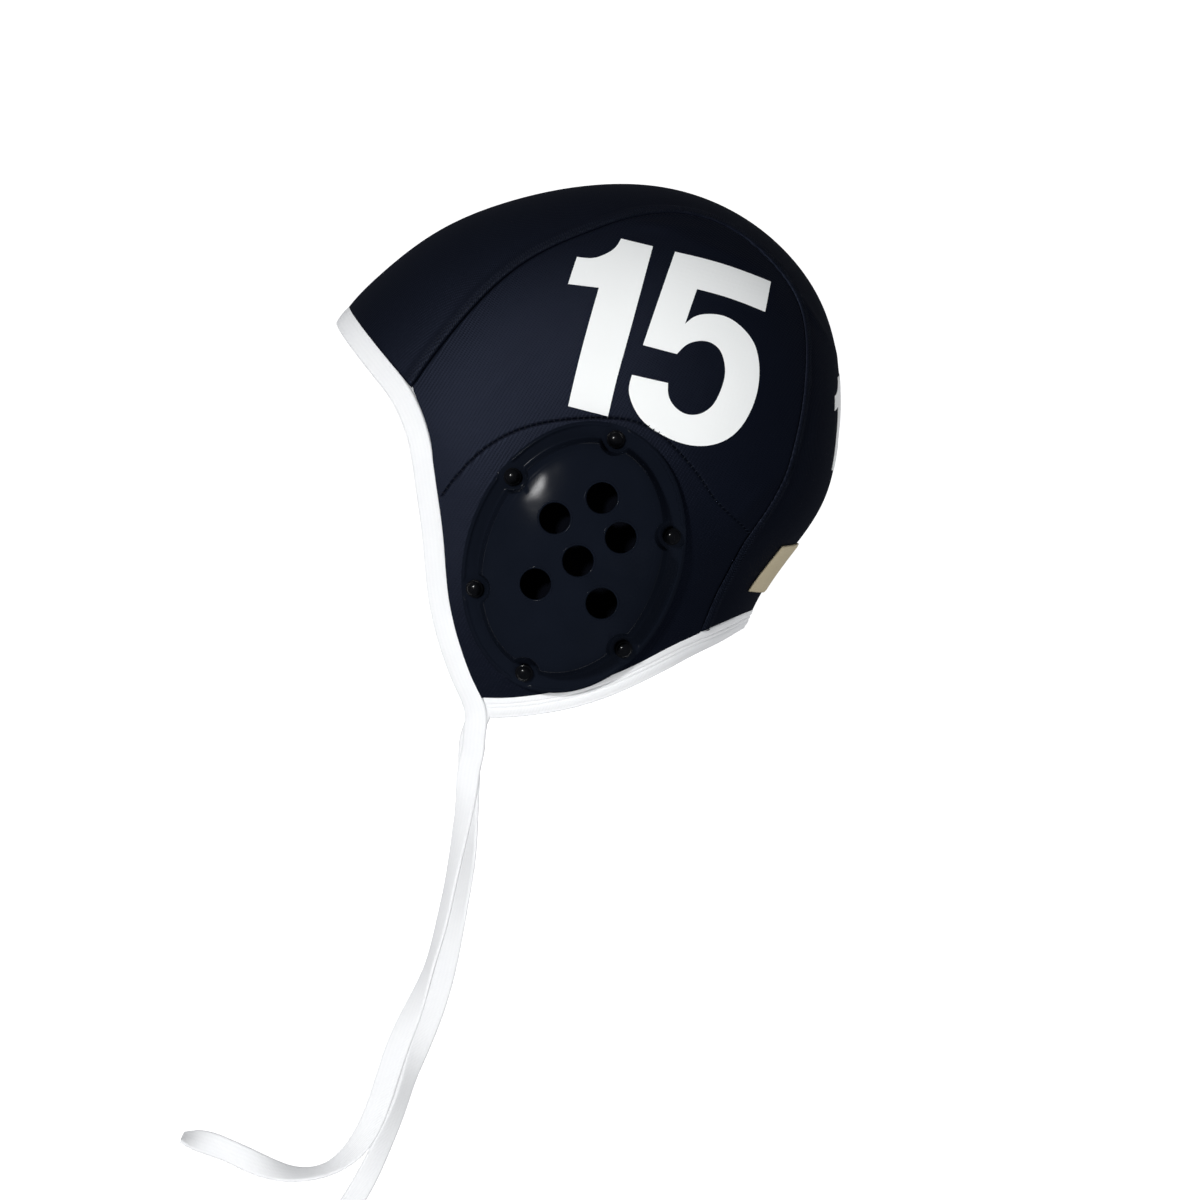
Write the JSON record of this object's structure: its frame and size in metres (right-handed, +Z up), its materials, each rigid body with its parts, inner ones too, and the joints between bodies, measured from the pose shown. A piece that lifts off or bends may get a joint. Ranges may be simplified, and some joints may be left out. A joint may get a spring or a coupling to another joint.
{
  "type": "water polo cap",
  "caption": "Stretch fabric cap for water polo, with a moulded plastic guard over each ear, white edge binding and tie tapes that hang below the jaw.",
  "frame": {"origin": "the head seat: where the crown sits on the top of the head, at the middle of the cap's width", "axes": "+Z up along the upright head; the face looks along -Y; +X to the wearer's left"},
  "size_m": [0.184, 0.2023, 0.4638],
  "materials": {
    "cap_fabric": "fine navy stretch knit",
    "guard_plastic": "glossy very dark navy",
    "rivet_plastic": "glossy black",
    "white_tape": "white cotton twill tape",
    "label_fabric": "beige woven label",
    "number_film": "white heat-pressed film"
  },
  "bodies": {
    "root": {"crown_strip": "cap_fabric", "side_panel_left": "cap_fabric", "side_panel_right": "cap_fabric", "ear_panel_left": "cap_fabric", "ear_panel_right": "cap_fabric", "ear_guard_left": "guard_plastic", "ear_guard_right": "guard_plastic", "rivet_left_1": "rivet_plastic", "rivet_left_2": "rivet_plastic", "rivet_left_3": "rivet_plastic", "rivet_left_4": "rivet_plastic", "rivet_left_5": "rivet_plastic", "rivet_left_6": "rivet_plastic", "rivet_right_1": "rivet_plastic", "rivet_right_2": "rivet_plastic", "rivet_right_3": "rivet_plastic", "rivet_right_4": "rivet_plastic", "rivet_right_5": "rivet_plastic", "rivet_right_6": "rivet_plastic", "face_binding": "white_tape", "nape_binding": "white_tape", "tie_left": "white_tape", "tie_right": "white_tape", "nape_label": "label_fabric"}
  },
  "joints": []
}
